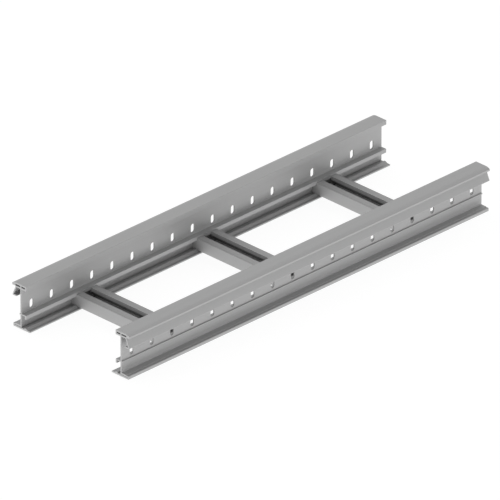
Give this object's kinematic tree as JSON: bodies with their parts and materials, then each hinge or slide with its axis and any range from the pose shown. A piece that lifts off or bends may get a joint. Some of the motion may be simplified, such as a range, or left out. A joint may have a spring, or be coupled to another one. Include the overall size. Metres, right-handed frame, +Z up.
{
  "type": "cable ladder section",
  "caption": "Straight cable ladder section: slotted I-shaped aluminium side rails joined by open channel rungs, to carry and fix cables.",
  "frame": {"origin": "the middle of the ladder on the floor that both rails' feet stand on", "axes": "X along the side rails, Y across the ladder, Z up; the left rail is at +Y when looking along +X"},
  "size_m": [0.9, 0.293, 0.088],
  "materials": {
    "rail_aluminium": "mill-finished extrusion, satin",
    "rung_aluminium": "mill-finished extrusion, satin"
  },
  "bodies": {
    "root": {"side_rail_left": "rail_aluminium", "side_rail_right": "rail_aluminium", "rung_1": "rung_aluminium", "rung_2": "rung_aluminium", "rung_3": "rung_aluminium"}
  },
  "joints": []
}
